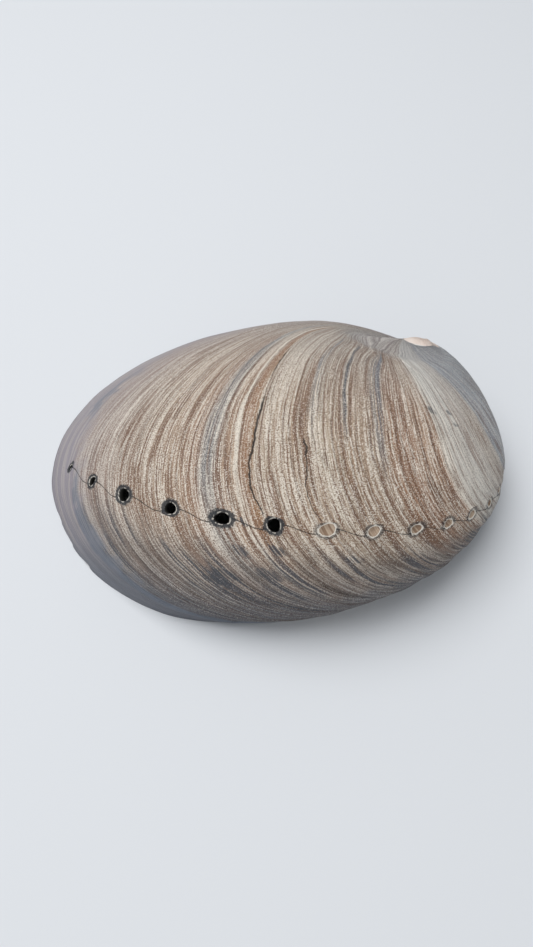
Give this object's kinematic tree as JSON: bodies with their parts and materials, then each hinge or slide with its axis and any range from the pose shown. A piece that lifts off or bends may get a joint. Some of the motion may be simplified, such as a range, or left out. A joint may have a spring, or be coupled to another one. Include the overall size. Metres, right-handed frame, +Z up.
{
  "type": "abalone shell",
  "caption": "Weathered abalone shell: a wide low spiral bowl resting on its open lip, with a row of breathing pores along one side and a worn knob at the spire.",
  "frame": {"origin": "middle of the bounding box, at the level of the lip that the shell rests on", "axes": "+X from the front of the shell to its back end, +Y away from the pore row, +Z up from the lip to the dome"},
  "size_m": [0.1296, 0.1052, 0.0415],
  "materials": {
    "shell": "dull weathered brown with cream and grey growth lines"
  },
  "bodies": {
    "root": {"shell": "shell"}
  },
  "joints": []
}
